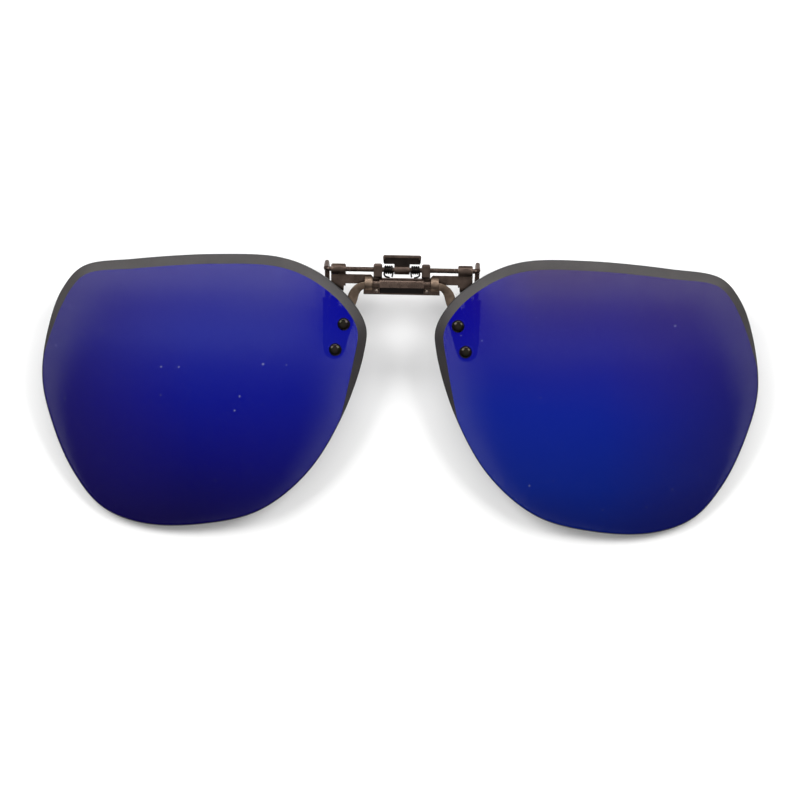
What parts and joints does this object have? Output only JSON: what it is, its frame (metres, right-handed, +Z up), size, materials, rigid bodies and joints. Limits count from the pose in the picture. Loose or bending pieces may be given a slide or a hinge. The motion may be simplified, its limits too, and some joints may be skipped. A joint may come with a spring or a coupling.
{
  "type": "clip-on flip-up sunglass lenses",
  "caption": "Rimless mirrored sun lenses hinged on a sprung claw clip, so that they flip up in front of a pair of spectacles.",
  "frame": {"origin": "on the surface it lies on, under the middle of its outline", "axes": "+X across the pair to its right, +Y towards the top of the lenses, +Z up, out of the lenses' fronts"},
  "size_m": [0.1396, 0.0534, 0.0136],
  "materials": {
    "frame_metal": "dark bronze plated sheet metal, satin",
    "arm_metal": "lighter bronze plated metal, satin",
    "wire_metal": "bronze plated round wire",
    "spring_steel": "blackened spring steel",
    "rivet_metal": "dark domed rivets, glossy",
    "small_rivet": "bright small rivets",
    "lens": "polarised plastic with a deep blue mirror coating and an uncoated grey facet",
    "washer_plastic": "translucent nylon",
    "claw_rubber": "soft black sleeves"
  },
  "bodies": {
    "clip": {"base_frame": "frame_metal", "hinge_housing": "frame_metal", "detent_spring": "spring_steel", "housing_rivet_left": "small_rivet", "housing_rivet_right": "small_rivet", "torsion_spring_left": "spring_steel", "torsion_spring_right": "spring_steel", "front_sleeve_left": "claw_rubber", "front_sleeve_right": "claw_rubber"},
    "clamp": {"clamp_rod": "wire_metal", "thumb_tab": "frame_metal", "rear_sleeve_left": "claw_rubber", "rear_sleeve_right": "claw_rubber"},
    "flip": {"hinge_bar": "wire_metal", "lens_arm_left": "arm_metal", "lens_arm_right": "arm_metal", "lens_left": "lens", "lens_right": "lens", "lens_rivet_lower_left": "rivet_metal", "lens_rivet_lower_right": "rivet_metal", "lens_rivet_upper_left": "rivet_metal", "lens_rivet_upper_right": "rivet_metal", "lens_washer_lower_left": "washer_plastic", "lens_washer_lower_right": "washer_plastic", "lens_washer_upper_left": "washer_plastic", "lens_washer_upper_right": "washer_plastic", "rivet_collar_lower_left": "rivet_metal", "rivet_collar_lower_right": "rivet_metal", "rivet_collar_upper_left": "rivet_metal", "rivet_collar_upper_right": "rivet_metal"}
  },
  "joints": [
    {"name": "lens_flip", "type": "hinge", "parent": "clip", "child": "flip", "pos_m": [0, 0.02106, 0.01111], "axis": [-1, 0, 0], "range_deg": [0, 90]},
    {"name": "clamp_open", "type": "hinge", "parent": "clip", "child": "clamp", "pos_m": [0, 0.02379, 0.01067], "axis": [1, 0, 0], "range_deg": [0, 25], "stiffness_Nm_per_rad": 0.01, "springref_deg": -57.3}
  ]
}
